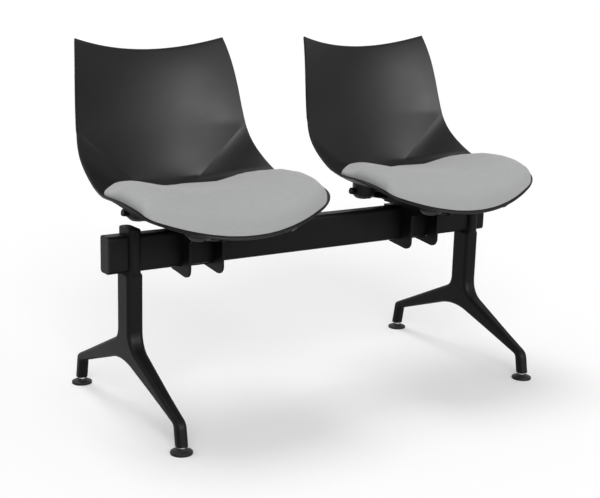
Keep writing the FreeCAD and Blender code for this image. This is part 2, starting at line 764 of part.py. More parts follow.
def bent_path(length, rise, height, extra):
    """Centre line of a cross tube: straight in the middle, its ends sloping up and longer by extra."""
    half = length / 2
    straight = mm("tube_straight") / 2
    radius = mm("tube_bend")
    slope = math.atan2(rise, half - straight)
    reach = radius * math.tan(slope / 2)
    start = Vector(-half - extra * math.cos(slope), 0, height + rise + extra * math.sin(slope))
    bend_low = Vector(-straight + reach, 0, height)
    bend_high = Vector(-straight - reach * math.cos(slope), 0, height + reach * math.sin(slope))
    half_slope = slope / 2
    bend_x = -straight + reach - radius * math.sin(half_slope)
    middle = Vector(bend_x, 0, height + radius * (1 - math.cos(half_slope)))

    def flip(point):
        return Vector(-point.x, 0, point.z)

    return Part.Wire([
        Part.makeLine(start, bend_high),
        Part.Arc(bend_high, middle, bend_low).toShape(),
        Part.makeLine(bend_low, flip(bend_low)),
        Part.Arc(flip(bend_low), flip(middle), flip(bend_high)).toShape(),
        Part.makeLine(flip(bend_high), flip(start)),
    ]), slope


def swept_round(path, slope, radius):
    start = path.OrderedVertexes[0].Point
    direction = Vector(math.cos(slope), 0, -math.sin(slope))
    ring = Part.Wire(Part.makeCircle(radius, start, direction))
    return path.makePipeShell([ring], True, False)


TUBES = {
    "front": ("front_tube_length", "front_tube_rise", "front_tube_reach", -1, "front_cup_place"),
    "rear": ("rear_tube_length", "rear_tube_rise", "rear_tube_reach", 1, "rear_cup_place"),
}


def tube_y(end):
    _, _, reach, sign, _ = TUBES[end]
    return COLUMN_Y + sign * mm(reach)


def tube_solid(end, radius, extra=0):
    length, rise, _, _, _ = TUBES[end]
    path, slope = bent_path(mm(length), mm(rise), mm("tube_height"), extra)
    solid = swept_round(path, slope, radius)
    solid.translate(Vector(0, tube_y(end), 0))
    return solid


def make_tubes(seat, place):
    for end in TUBES:
        outer = tube_solid(end, mm("tube_diameter") / 2)
        inner = tube_solid(end, mm("tube_diameter") / 2 - mm("tube_wall"))
        shape_piece(f"{seat}_{end}_tube", outer.cut(inner), place)


def make_tube_caps(seat, place):
    """Round plugs in the four ends of the cross tubes."""
    caps = []
    for end, (length, rise, _, _, _) in TUBES.items():
        half = mm(length) / 2
        slope = math.atan2(mm(rise), half - mm("tube_straight") / 2)
        for sign in (-1, 1):
            outwards = Vector(sign * math.cos(slope), 0, math.sin(slope))
            mouth = Vector(sign * half, tube_y(end), mm("tube_height") + mm(rise))
            plug_radius = mm("tube_diameter") / 2 - mm("tube_wall") - mm("tube_clearance")
            face = cylinder(mm("tube_diameter") / 2, mm("plug_face"), mouth, outwards)
            far = mm("plug_face") - 0.1
            outer_edge = [
                edge for edge in face.Edges if edge.Closed and (edge.CenterOfMass - mouth).Length > far
            ]
            face = face.makeFillet(mm("plug_face") / 3, outer_edge)
            plug = cylinder(plug_radius, mm("plug_length"), mouth, outwards * -1)
            caps.append(face.fuse(plug).removeSplitter())
    shape_piece(f"{seat}_tube_caps", Part.makeCompound(caps), place)


def cup_places():
    places = []
    for end, (_, _, _, _, across) in TUBES.items():
        for sign in (-1, 1):
            places.append((end, sign * mm(across), tube_y(end)))
    return places


def cup_screw_places():
    half = mm("cup_screw_spacing") / 2
    return [(x, y + sign * half) for _, x, y in cup_places() for sign in (-1, 1)]


def make_cups(seat, place):
    """Four domed cups that hold the cross tubes under the shell."""
    underside = offset_rows(PAD_START, -mm("shell_wall") - mm("shell_gap"))
    lift = Vector(0, 0, mm("cup_diameter"))
    above = solid_between(underside, [[point + lift for point in points] for points in underside])
    radius = mm("cup_diameter") / 2
    cups = []
    for end, x, y in cup_places():
        profile = [
            (0, mm("cup_bottom"), 0),
            (radius - mm("cup_dome"), mm("cup_bottom"), mm("cup_dome")),
            (radius, mm("cup_bottom") + mm("cup_dome"), mm("cup_dome") / 2),
            (radius, mm("cup_bottom") + mm("cup_diameter"), 0),
            (0, mm("cup_bottom") + mm("cup_diameter"), 0),
        ]
        cup = Part.Face(outline_wire(profile, along_xz)).revolve(Vector(0, 0, 0), Vector(0, 0, 1), 360)
        cup.translate(Vector(x, y, 0))
        cup = lowest(cup.cut(above))
        cup = cup.cut(tube_solid(end, mm("tube_diameter") / 2 + mm("tube_clearance"), 2 * mm("plug_face")))
        for screw_x, screw_y in cup_screw_places():
            cup = cup.cut(screw_space(screw_x, screw_y, "cup_screw_diameter", mm("cup_screw_seat")))
        cups.append(biggest(cup))
    shape_piece(f"{seat}_mount_cups", Part.makeCompound(cups), place)


def screw_space(x, y, diameter, seat_height):
    """Room for an upright screw: its shank, and its head below seat_height."""
    radius = mm(diameter) / 2
    shank = cylinder(radius + mm("thread_clearance"), mm("cup_diameter"), Vector(x, y, seat_height))
    head = cylinder(radius * mm("screw_head") + mm("bolt_hole_clearance"), mm("cup_dome") + 1,
                    Vector(x, y, seat_height - mm("cup_dome") - 1))
    return shank.fuse(head)


def screw(x, y, diameter, seat_height, top):
    """An upright screw with a round head below seat_height."""
    radius = mm(diameter) / 2
    head_height = mm(diameter) * mm("screw_head_height")
    head = cylinder(radius * mm("screw_head"), head_height, Vector(x, y, seat_height - head_height))
    lower = [edge for edge in head.Edges if edge.BoundBox.ZMax < seat_height - head_height + 0.01]
    head = head.makeFillet(head_height / 3, lower)
    recess = hexagon(radius, head_height / 2, Vector(x, y, seat_height - head_height - 0.01))
    shank = cylinder(radius, top - seat_height, Vector(x, y, seat_height))
    return head.fuse(shank).cut(recess)


def pad_screw_places():
    half = mm("pad_screw_across") / 2
    reaches = (mm("pad_screw_front"), mm("pad_screw_rear"))
    return [(sign * half, COLUMN_Y - reach) for sign in (-1, 1) for reach in reaches]


def hook_corners():
    """Side view of a hook plate: arms under both cross tubes, and a hook in front of and under the beam."""
    beam_front = -mm("beam_depth") / 2 - mm("bridge_gap")
    beam_rear = mm("beam_depth") / 2
    beam_top = BEAM_TOP + mm("bridge_gap")
    beam_under = mm("beam_bottom_height") - mm("bridge_gap")
    arm_low = mm("hook_top") - mm("arm_end_height")
    end_radius = mm("hook_end_radius")
    return [
        (mm("hook_behind"), mm("hook_top"), end_radius),
        (-mm("hook_ahead"), mm("hook_top"), end_radius),
        (-mm("hook_ahead"), arm_low, end_radius),
        (-mm("hook_front"), mm("hook_top") - mm("hook_belly"), mm("hook_belly_radius")),
        (-mm("hook_front"), mm("hook_bottom"), mm("hook_corner")),
        (mm("hook_reach"), mm("hook_bottom") + mm("hook_rise"), mm("hook_tongue_radius")),
        (mm("hook_reach") + mm("hook_tongue_lean"), beam_under, 0),
        (beam_front, beam_under, mm("hook_inner_radius")),
        (beam_front, beam_top, mm("hook_inner_radius")),
        (beam_rear, beam_top, mm("hook_tongue_radius")),
        (mm("hook_behind"), arm_low, end_radius),
    ]


def hook_places():
    half = mm("hook_spacing") / 2
    return {"outer": mm("clamp_offset") - half, "inner": mm("clamp_offset") + half}


def make_hooks(seat, place):
    corners = [(y + COLUMN_Y, z, radius) for y, z, radius in hook_corners()]
    half = mm("hook_thickness") / 2
    for name, x in hook_places().items():
        plate = extruded(corners, along_yz, Vector(mm("hook_thickness"), 0, 0))
        plate.translate(Vector(x - half, 0, 0))
        for end in TUBES:
            plate = plate.cut(tube_solid(end, mm("tube_diameter") / 2 + mm("tube_clearance")))
        shape_piece(f"{seat}_{name}_hook", plate, place)


def bolt_places():
    half = mm("bolt_spacing") / 2
    return [(mm("clamp_offset") + sign * half, COLUMN_Y + mm("bolt_reach")) for sign in (-1, 1)]


def bolt_holes(low, high):
    radius = mm("bolt_diameter") / 2 + mm("bolt_hole_clearance")
    return [cylinder(radius, high - low, Vector(x, y, low)) for x, y in bolt_places()]


def bridge_span():
    """Low and high X of the pieces between the two hook plates."""
    half = (mm("hook_spacing") - mm("hook_thickness")) / 2 - mm("bridge_gap")
    return mm("clamp_offset") - half, mm("clamp_offset") + half


def make_bridge(seat, place):
    """A plate on top of the beam, joining the hook plates and carrying the clamp bolts."""
    low_x, high_x = bridge_span()
    base = BEAM_TOP + mm("bridge_gap")
    front = COLUMN_Y - mm("bridge_ahead")
    rear = COLUMN_Y + mm("bridge_behind")
    corners = box_corners(low_x, front, high_x, rear, mm("bridge_corner"))
    plate = extruded(corners, along_xy, Vector(0, 0, mm("bridge_thickness")))
    plate.translate(Vector(0, 0, base))
    for hole in bolt_holes(base - 1, base + 2 * mm("bridge_thickness")):
        plate = plate.cut(hole)
    shape_piece(f"{seat}_clamp_bridge", plate, place)


def make_keeper(seat, place):
    """A bent plate behind the beam: a lip under the beam, an upright, and a flange for the bolts."""
    low_x, high_x = bridge_span()
    wall = mm("bridge_thickness")
    rear = mm("beam_depth") / 2 + mm("bridge_gap")
    under = mm("beam_bottom_height") - mm("bridge_gap")
    flange = mm("keeper_flange_height")
    corners = [
        (rear - mm("keeper_lip"), under - wall, 0),
        (rear + wall, under - wall, wall),
        (rear + wall, flange, mm("keeper_bend")),
        (rear + wall + mm("keeper_flange"), flange, 0),
        (rear + wall + mm("keeper_flange"), flange + wall, 0),
        (rear, flange + wall, wall),
        (rear, under, mm("keeper_bend")),
        (rear - mm("keeper_lip"), under, 0),
    ]
    corners = [(y + COLUMN_Y, z, radius) for y, z, radius in corners]
    plate = extruded(corners, along_yz, Vector(high_x - low_x, 0, 0))
    plate.translate(Vector(low_x, 0, 0))
    for hole in bolt_holes(flange - 1, flange + wall + 1):
        plate = plate.cut(hole)
    shape_piece(f"{seat}_clamp_keeper", plate, place)


def make_bolts(seat, place):
    """Hexagon bolts down through bridge and keeper, with nuts below."""
    seat_height = BEAM_TOP + mm("bridge_gap") + mm("bridge_thickness")
    nut_top = mm("keeper_flange_height")
    nut_low = nut_top - mm("nut_height")
    radius = mm("bolt_diameter") / 2
    bolts = []
    nuts = []
    for x, y in bolt_places():
        head = hexagon(mm("bolt_head_width"), mm("bolt_head_height"), Vector(x, y, seat_height))
        shank_low = nut_low - mm("bolt_tip")
        shank = cylinder(radius, seat_height - shank_low, Vector(x, y, shank_low))
        bolts.append(head.fuse(shank).removeSplitter())
        nut = hexagon(mm("bolt_head_width"), mm("nut_height"), Vector(x, y, nut_low))
        bore = cylinder(radius + mm("thread_clearance"), mm("nut_height"), Vector(x, y, nut_low))
        nuts.append(nut.cut(bore))
    shape_piece(f"{seat}_clamp_bolts", Part.makeCompound(bolts), place)
    shape_piece(f"{seat}_clamp_nuts", Part.makeCompound(nuts), place)


def make_seat(seat):
    """One seat: shell, pad on its board, cups, cross tubes and the clamp that grips the beam."""
    centre_x = SIDES[seat] * mm("seat_pitch") / 2
    place = Placement(Vector(centre_x, 0, 0), Rotation())
    whole_shell = solid_between(offset_rows(0, -mm("shell_wall")), offset_rows(0, 0))
    shell = whole_shell
    cup_screws = []
    for x, y in cup_screw_places():
        under, over = shell_height(whole_shell, x, y)
        top = (under + over) / 2
        below = under - mm("shell_wall")
        bore = mm("cup_screw_diameter") / 2 + mm("thread_clearance")
        shell = shell.cut(cylinder(bore, top - below, Vector(x, y, below)))
        cup_screws.append(screw(x, y, "cup_screw_diameter", mm("cup_screw_seat"), top - mm("shell_gap")))
    board = biggest(seat_layer(board_lift).common(pad_column(mm("board_inset"))))
    board_room = seat_layer(board_room_lift).common(pad_column(mm("board_inset") - mm("shell_gap")))
    pad = biggest(seat_layer(crowned).common(pad_column(0)).cut(board_room))
    pad_screws = []
    head_radius = mm("pad_screw_diameter") / 2 * mm("screw_head")
    for x, y in pad_screw_places():
        under, over = shell_height(whole_shell, x, y)
        round_the_head = [shell_height(whole_shell, x + dx, y + dy)[0]
                          for dx in (-head_radius, head_radius) for dy in (-head_radius, head_radius)]
        tip = over + mm("board_thickness") / 2
        below = under - mm("shell_wall")
        bore = mm("pad_screw_diameter") / 2 + mm("thread_clearance")
        hole = cylinder(bore, tip + mm("shell_gap") - below, Vector(x, y, below))
        shell = shell.cut(hole)
        board = board.cut(hole)
        pad_screws.append(screw(x, y, "pad_screw_diameter", min(round_the_head), tip))
    shape_piece(f"{seat}_seat_shell", shell, place)
    shape_piece(f"{seat}_pad_board", board, place)
    shape_piece(f"{seat}_seat_pad", pad, place)
    shape_piece(f"{seat}_pad_screws", Part.makeCompound(pad_screws), place)
    shape_piece(f"{seat}_cup_screws", Part.makeCompound(cup_screws), place)
    make_cups(seat, place)
    make_tubes(seat, place)
    make_tube_caps(seat, place)
    make_hooks(seat, place)
    make_bridge(seat, place)
    make_keeper(seat, place)
    make_bolts(seat, place)


make_beam()
for side in SIDES:
    make_end_cap(side)
    make_leg(side)
    make_leg_screws(side)
    make_leg_inserts(side)
    for end in foot_axes():
        make_glide(side, end)
    make_seat(side)
doc.recompute()

faults = []
for item in doc.Objects:
    if "Invalid" in item.State or "Error" in item.State:
        faults.append(f"{item.Label}: {item.State}")
for piece in pieces:
    if piece.Shape.isNull() or not piece.Shape.isValid() or not piece.Shape.Solids:
        faults.append(f"{piece.Label}: no valid solid")
if faults:
    raise SystemExit("\n".join(faults))

os.makedirs("parts", exist_ok=True)
for piece in pieces:
    piece.Shape.exportStep(f"parts/{piece.Label}.step")
    box = piece.Shape.BoundBox
    size = f"{box.XLength:.1f} x {box.YLength:.1f} x {box.ZLength:.1f}"
    print(f"{piece.Label:26} {len(piece.Shape.Solids)} solids, {piece.Shape.Volume / 1000:9.2f} cm3, {size}")
print(len(pieces), "nodes")
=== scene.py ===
# %% [markdown]
# # Beam seating: two shell seats on a beam
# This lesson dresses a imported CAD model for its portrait. The steel and cast pieces keep their CAD
# shapes and get real finishes. The two moulded shells and the two upholstered pads are soft, doubly
# curved forms, so they are built again here as fine meshes from the same guide curves.

# %% Load the fixed frame
import math

import bmesh
import bpy
import numpy as np
from mathutils import Matrix, Vector
from mathutils.bvhtree import BVHTree
from mathutils.kdtree import KDTree


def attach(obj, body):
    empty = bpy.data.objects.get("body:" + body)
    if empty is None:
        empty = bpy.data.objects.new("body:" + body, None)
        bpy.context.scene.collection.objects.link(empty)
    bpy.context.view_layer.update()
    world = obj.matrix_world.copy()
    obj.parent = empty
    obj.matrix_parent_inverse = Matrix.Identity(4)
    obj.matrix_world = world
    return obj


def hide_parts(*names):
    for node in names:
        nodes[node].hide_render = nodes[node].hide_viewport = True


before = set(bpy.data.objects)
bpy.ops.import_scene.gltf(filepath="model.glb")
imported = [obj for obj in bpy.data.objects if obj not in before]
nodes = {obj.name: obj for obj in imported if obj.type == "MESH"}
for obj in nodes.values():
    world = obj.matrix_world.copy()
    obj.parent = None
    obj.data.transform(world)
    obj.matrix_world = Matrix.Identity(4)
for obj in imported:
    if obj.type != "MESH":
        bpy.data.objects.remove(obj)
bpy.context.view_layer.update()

print("nodes in the frame:", len(nodes))

# %% [markdown]
# ## The camera
# The picture was taken from the front left, a little above the seats, with a long lens that hardly
# draws the lines together. The camera is set from its place, its three turns and its focal length.

# %% Camera at the picture's angle
CAMERA_PLACE = Vector((-1.5526, -2.2491, 0.9534))
CAMERA_AZIMUTH = math.radians(-34.13)
CAMERA_ELEVATION = math.radians(13.0148)
CAMERA_ROLL = math.radians(1.6029)
FOCAL_PIXELS = 1202.894
PICTURE_WIDTH = 600
SENSOR_WIDTH = 36.0

scene = bpy.context.scene
backward = Vector((
    math.sin(CAMERA_AZIMUTH) * math.cos(CAMERA_ELEVATION),
    -math.cos(CAMERA_AZIMUTH) * math.cos(CAMERA_ELEVATION),
    math.sin(CAMERA_ELEVATION),
))
level_right = (-backward).cross(Vector((0, 0, 1))).normalized()
level_up = level_right.cross(-backward)
right = level_right * math.cos(CAMERA_ROLL) + level_up * math.sin(CAMERA_ROLL)
up = level_up * math.cos(CAMERA_ROLL) - level_right * math.sin(CAMERA_ROLL)
turn = Matrix((right, up, backward)).transposed()
camera_data = bpy.data.cameras.new("portrait_camera")
camera_data.sensor_width = SENSOR_WIDTH
camera_data.sensor_fit = "HORIZONTAL"
camera_data.lens = SENSOR_WIDTH * FOCAL_PIXELS / PICTURE_WIDTH
camera = bpy.data.objects.new("portrait_camera", camera_data)
camera.matrix_world = Matrix.Translation(CAMERA_PLACE) @ turn.to_4x4()
scene.collection.objects.link(camera)
scene.camera = camera
print("lens in mm:", round(camera_data.lens, 1))

# %% [markdown]
# ## Node groups that the finishes share
# Moulded grain, edge wear and dust turn up on several materials. Each is a small node group with
# named inputs and outputs, built once. A group puts out masks and heights, and the shader that uses
# them stays in the material.

# %% Helpers for node trees
def place_node(tree, kind, **values):
    """One node, with attributes by name and input values by socket name."""
    node = tree.nodes.new(kind)
    for name, value in values.items():
        if hasattr(node, name):
            setattr(node, name, value)
        else:
            node.inputs[name.replace("_", " ").title()].default_value = value
    return node


def start_group(name, inputs, outputs):
    """An empty group with float inputs {name: default} and outputs {name: socket type}."""
    group = bpy.data.node_groups.new(name, "ShaderNodeTree")
    for socket_name, default in inputs.items():
        socket = group.interface.new_socket(socket_name, in_out="INPUT", socket_type="NodeSocketFloat")
        socket.default_value = default
    for socket_name, socket_type in outputs.items():
        group.interface.new_socket(socket_name, in_out="OUTPUT", socket_type=socket_type)
    entry = group.nodes.new("NodeGroupInput")
    leave = group.nodes.new("NodeGroupOutput")
    return group, entry, leave


def use_group(tree, group, **values):
    node = tree.nodes.new("ShaderNodeGroup")
    node.node_tree = group
    for name, value in values.items():
        node.inputs[name.replace("_", " ").capitalize()].default_value = value
    return node


def math_node(tree, operation, first, second=None, clamp=False):
    """A maths node fed by sockets or plain numbers; returns its output."""
    node = tree.nodes.new("ShaderNodeMath")
    node.operation = operation
    node.use_clamp = clamp
    for socket, value in zip(node.inputs, (first, second)):
        if value is None:
            continue
        if isinstance(value, (int, float)):
            socket.default_value = value
        else:
            tree.links.new(value, socket)
    return node.outputs[0]


def colour_mix(tree, share, first, second, blend="MIX"):
    """A colour mix; share, first and second are sockets or plain values."""
    node = tree.nodes.new("ShaderNodeMix")
    node.data_type = "RGBA"
    node.blend_type = blend
    for socket, value in ((node.inputs[0], share), (node.inputs[6], first), (node.inputs[7], second)):
        if isinstance(value, (int, float)):
            socket.default_value = value
        elif isinstance(value, tuple):
            socket.default_value = (*value, 1)
        else:
            tree.links.new(value, socket)
    return node.outputs[2]


print("node helpers ready")

# %% Group: moulded grain
def build_grain_group():
    """Fine leather-like pits of a textured mould: Height from 0 to 1, and a slow Mottle."""
    group, entry, leave = start_group(
        "moulded_grain", {"Size": 0.0008, "Mottle size": 0.12},
        {"Height": "NodeSocketFloat", "Mottle": "NodeSocketFloat"},
    )
    place = group.nodes.new("ShaderNodeTexCoord").outputs["Object"]
    pits = group.nodes.new("ShaderNodeTexVoronoi")
    pits.feature = "SMOOTH_F1"
    group.links.new(place, pits.inputs["Vector"])
    group.links.new(math_node(group, "DIVIDE", 1.0, entry.outputs["Size"]), pits.inputs["Scale"])
    group.links.new(pits.outputs["Distance"], leave.inputs["Height"])
    slow = group.nodes.new("ShaderNodeTexNoise")
    slow.inputs["Detail"].default_value = 4
    group.links.new(place, slow.inputs["Vector"])
    group.links.new(math_node(group, "DIVIDE", 1.0, entry.outputs["Mottle size"]), slow.inputs["Scale"])
    group.links.new(slow.outputs["Fac"], leave.inputs["Mottle"])
    return group


grain_group = build_grain_group()
print("group:", grain_group.name)

# %% Group: worn edges
def build_wear_group():
    """Mask of convex edges, broken up by noise, where hands and shoes rub a finish."""
    group, entry, leave = start_group(
        "edge_wear", {"Reach": 0.002, "Amount": 0.5}, {"Mask": "NodeSocketFloat"},
    )
    bevel = group.nodes.new("ShaderNodeBevel")
    bevel.samples = 4
    group.links.new(entry.outputs["Reach"], bevel.inputs["Radius"])
    surface = group.nodes.new("ShaderNodeNewGeometry")
    dot = group.nodes.new("ShaderNodeVectorMath")
    dot.operation = "DOT_PRODUCT"
    group.links.new(bevel.outputs[0], dot.inputs[0])
    group.links.new(surface.outputs["Normal"], dot.inputs[1])
    edge = math_node(group, "SUBTRACT", 1.0, dot.outputs["Value"], clamp=True)
    edge = math_node(group, "MULTIPLY", edge, 6.0, clamp=True)
    noise = place_node(group, "ShaderNodeTexNoise", Scale=60.0, Detail=3.0)
    group.links.new(group.nodes.new("ShaderNodeTexCoord").outputs["Object"], noise.inputs["Vector"])
    broken = math_node(group, "MULTIPLY", edge, noise.outputs["Fac"])
    mask = math_node(group, "MULTIPLY", broken, entry.outputs["Amount"], clamp=True)
    group.links.new(mask, leave.inputs["Mask"])
    return group


wear_group = build_wear_group()
print("group:", wear_group.name)

# %% Group: dust
def build_dust_group():
    """Mask of fine dust that settles on faces that look up."""
    group, entry, leave = start_group("settled_dust", {"Amount": 0.1}, {"Mask": "NodeSocketFloat"})
    surface = group.nodes.new("ShaderNodeNewGeometry")
    parts = group.nodes.new("ShaderNodeSeparateXYZ")
    group.links.new(surface.outputs["Normal"], parts.inputs[0])
    upward = math_node(group, "MAXIMUM", parts.outputs["Z"], 0.0)
    noise = place_node(group, "ShaderNodeTexNoise", Scale=22.0, Detail=6.0)
    group.links.new(group.nodes.new("ShaderNodeTexCoord").outputs["Object"], noise.inputs["Vector"])
    spread = math_node(group, "MULTIPLY", upward, noise.outputs["Fac"])
    mask = math_node(group, "MULTIPLY", spread, entry.outputs["Amount"], clamp=True)
    group.links.new(mask, leave.inputs["Mask"])
    return group


dust_group = build_dust_group()
print("group:", dust_group.name)

# %% [markdown]
# ## Black finishes
# The beam and legs are powder coated: the baked powder flows into a very fine orange peel, satin
# rather than glossy. The shells are moulded plastic, whose grain scatters the light more. Both are
# nearly black, so their form is read from reflections alone, and roughness matters more than colour.

# %% Powder coat, moulded plastic and plain black plastic
MOTTLING = 0.2
DUST_COLOUR = (0.32, 0.31, 0.3)
ROUGHNESS_SWING = 0.12


def start_material(name):
    material = bpy.data.materials.new(name)
    material.use_nodes = True
    tree = material.node_tree
    tree.nodes.clear()
    shader = tree.nodes.new("ShaderNodeBsdfPrincipled")
    finish = tree.nodes.new("ShaderNodeOutputMaterial")
    tree.links.new(shader.outputs[0], finish.inputs["Surface"])
    return material, tree, shader


def add_bump(tree, shader, height, strength, distance):
    bump = tree.nodes.new("ShaderNodeBump")
    bump.inputs["Strength"].default_value = strength
    bump.inputs["Distance"].default_value = distance
    tree.links.new(height, bump.inputs["Height"])
    tree.links.new(bump.outputs[0], shader.inputs["Normal"])


def black_finish(name, colour, worn_colour, roughness, gloss, grain_size, grain_depth, wear, dust):
    """A dark finish with grain in its bump, rubbed edges and a little dust."""
    material, tree, shader = start_material(name)
    shader.inputs["Specular IOR Level"].default_value = gloss
    grain = use_group(tree, grain_group, size=grain_size, mottle_size=0.09)
    worn = use_group(tree, wear_group, reach=0.0015, amount=wear)
    dusty = use_group(tree, dust_group, amount=dust)
    darker = tuple(c * (1 - MOTTLING) for c in colour)
    lighter = tuple(c * (1 + MOTTLING) for c in colour)
    mottled = colour_mix(tree, grain.outputs["Mottle"], darker, lighter)
    rubbed = colour_mix(tree, worn.outputs["Mask"], mottled, worn_colour)
    settled = colour_mix(tree, dusty.outputs["Mask"], rubbed, DUST_COLOUR)
    tree.links.new(settled, shader.inputs["Base Color"])
    swing = math_node(tree, "SUBTRACT", grain.outputs["Mottle"], 0.5)
    wave = math_node(tree, "MULTIPLY", swing, ROUGHNESS_SWING)
    tree.links.new(math_node(tree, "ADD", wave, roughness, clamp=True), shader.inputs["Roughness"])
    add_bump(tree, shader, grain.outputs["Height"], 0.5, grain_depth)
    return material


powder_coat = black_finish(
    "powder_coat", (0.0045, 0.0045, 0.0046), (0.015, 0.015, 0.015), 0.44, 0.08, 0.0011, 0.00006, 0.5, 0.03
)
shell_plastic = black_finish(
    "shell_plastic", (0.004, 0.004, 0.0041), (0.012, 0.012, 0.012), 0.43, 0.15, 0.0007, 0.00008, 0.4, 0.02
)
cap_plastic = black_finish(
    "cap_plastic", (0.006, 0.006, 0.0062), (0.02, 0.02, 0.02), 0.5, 0.12, 0.0006, 0.00005, 0.5, 0.03
)
cup_plastic = black_finish(
    "cup_plastic", (0.012, 0.012, 0.0125), (0.04, 0.04, 0.04), 0.5, 0.2, 0.0006, 0.00005, 0.3, 0.03
)
glide_plastic = black_finish(
    "glide_plastic", (0.008, 0.008, 0.008), (0.04, 0.04, 0.039), 0.48, 0.15, 0.0006, 0.00005, 0.9, 0.06
)
print("black finishes:", 5)

# %% [markdown]
# ## Zinc plate, black oxide and plywood
# Screws, studs, nuts and the stiffener board are mostly hidden. They still get a true finish, since
# the part is seen from every side: zinc is bright with a soft turned brushing, and plywood shows its
# grain.

# %% Metal and wood
def metal_finish(name, colour, roughness):
    material, tree, shader = start_material(name)
    shader.inputs["Metallic"].default_value = 1.0
    lines = place_node(tree, "ShaderNodeTexNoise", Scale=900.0, Detail=2.0)
    stretch = tree.nodes.new("ShaderNodeMapping")
    stretch.inputs["Scale"].default_value = (1, 1, 0.06)
    tree.links.new(tree.nodes.new("ShaderNodeTexCoord").outputs["Object"], stretch.inputs["Vector"])
    tree.links.new(stretch.outputs[0], lines.inputs["Vector"])
    worn = use_group(tree, wear_group, reach=0.0008, amount=0.7)
    light = tuple(min(1, c * 1.25) for c in colour)
    tree.links.new(colour_mix(tree, worn.outputs["Mask"], colour, light), shader.inputs["Base Color"])
    spread = math_node(tree, "MULTIPLY", lines.outputs["Fac"], 0.15)
    tree.links.new(math_node(tree, "ADD", spread, roughness, clamp=True), shader.inputs["Roughness"])
    add_bump(tree, shader, lines.outputs["Fac"], 0.2, 0.00003)
    return material


def plywood_finish():
    material, tree, shader = start_material("plywood")
    shader.inputs["Roughness"].default_value = 0.6
    rings = place_node(tree, "ShaderNodeTexWave", Scale=18.0, Distortion=3.0, Detail=3.0)
    stretch = tree.nodes.new("ShaderNodeMapping")
    stretch.inputs["Scale"].default_value = (1, 0.1, 1)
    tree.links.new(tree.nodes.new("ShaderNodeTexCoord").outputs["Object"], stretch.inputs["Vector"])
    tree.links.new(stretch.outputs[0], rings.inputs["Vector"])
    wood = colour_mix(tree, rings.outputs["Fac"], (0.42, 0.27, 0.15), (0.6, 0.43, 0.26))
    tree.links.new(wood, shader.inputs["Base Color"])
    add_bump(tree, shader, rings.outputs["Fac"], 0.3, 0.0001)
    return material


zinc = metal_finish("zinc_plate", (0.55, 0.56, 0.58), 0.3)
black_oxide = metal_finish("black_oxide", (0.06, 0.06, 0.065), 0.38)
plywood = plywood_finish()
print("metal and wood finishes:", 3)

# %% [markdown]
# ## Woven upholstery
# The pads wear a light grey, slightly mixed weave, stretched smooth over foam. Warp and weft are two
# sets of fine ribs at right angles, and the lighter and darker yarns make it a soft grey, not a flat
# one. The pattern is read from the place in space, so it needs no unwrapping.

# %% The weave and the fabric
THREAD_PITCH = 0.0014
WEAVE_MEAN = 0.58


def build_weave_group():
    """Ribs of warp and weft: Height, and Yarn for the colour of each thread. They fade on steep
    faces, where lines drawn in plan view would be pulled apart."""
    group, entry, leave = start_group(
        "plain_weave", {"Pitch": THREAD_PITCH}, {"Height": "NodeSocketFloat", "Yarn": "NodeSocketFloat"},
    )
    place = group.nodes.new("ShaderNodeTexCoord").outputs["Object"]
    parts = group.nodes.new("ShaderNodeSeparateXYZ")
    group.links.new(place, parts.inputs[0])
    turns = math_node(group, "DIVIDE", math.pi, entry.outputs["Pitch"])
    warp = math_node(group, "SINE", math_node(group, "MULTIPLY", parts.outputs["X"], turns))
    weft = math_node(group, "SINE", math_node(group, "MULTIPLY", parts.outputs["Y"], turns))
    crossing = math_node(group, "ABSOLUTE", math_node(group, "MULTIPLY", warp, weft))
    ribs = math_node(group, "SUBTRACT", math_node(group, "POWER", crossing, 0.5), WEAVE_MEAN)
    facing = group.nodes.new("ShaderNodeSeparateXYZ")
    group.links.new(group.nodes.new("ShaderNodeNewGeometry").outputs["Normal"], facing.inputs[0])
    upward = math_node(group, "MULTIPLY", facing.outputs["Z"], 2.5)
    level = math_node(group, "SUBTRACT", upward, 1.2, clamp=True)
    ribs = math_node(group, "MULTIPLY", ribs, level)
    group.links.new(math_node(group, "ADD", ribs, WEAVE_MEAN), leave.inputs["Height"])
    yarn = place_node(group, "ShaderNodeTexNoise", Scale=1.0, Detail=2.0)
    stretch = group.nodes.new("ShaderNodeVectorMath")
    stretch.operation = "MULTIPLY"
    stretch.inputs[1].default_value = (700, 70, 300)
    group.links.new(place, stretch.inputs[0])
    group.links.new(stretch.outputs[0], yarn.inputs["Vector"])
    group.links.new(yarn.outputs["Fac"], leave.inputs["Yarn"])
    return group


def upholstery_finish(weave_group):
    material, tree, shader = start_material("grey_weave")
    shader.inputs["Roughness"].default_value = 0.92
    shader.inputs["Sheen Weight"].default_value = 0.25
    shader.inputs["Sheen Roughness"].default_value = 0.5
    shader.inputs["Specular IOR Level"].default_value = 0.25
    weave = use_group(tree, weave_group, pitch=THREAD_PITCH)
    soiled = place_node(tree, "ShaderNodeTexNoise", Scale=5.0, Detail=3.0)
    tree.links.new(tree.nodes.new("ShaderNodeTexCoord").outputs["Object"], soiled.inputs["Vector"])
    threads = colour_mix(tree, weave.outputs["Yarn"], (0.38, 0.385, 0.39), (0.56, 0.565, 0.565))
    # Where Height is low, between the threads, the colour is darker: painted shade in the weave's
    # hollows.
    shaded_gaps = colour_mix(tree, weave.outputs["Height"], (0.30, 0.30, 0.305), threads)
    tree.links.new(colour_mix(tree, soiled.outputs["Fac"], shaded_gaps, (0.88, 0.88, 0.87), "MULTIPLY"),
                   shader.inputs["Base Color"])
    add_bump(tree, shader, weave.outputs["Height"], 0.4, 0.00015)
    return material


grey_weave = upholstery_finish(build_weave_group())
print("upholstery:", grey_weave.name)

# %% [markdown]
# ## Finishes on the CAD pieces
# A CAD piece whose shape is right stays, and only its material slots are filled. The names of the
# pieces say what each one is made of.

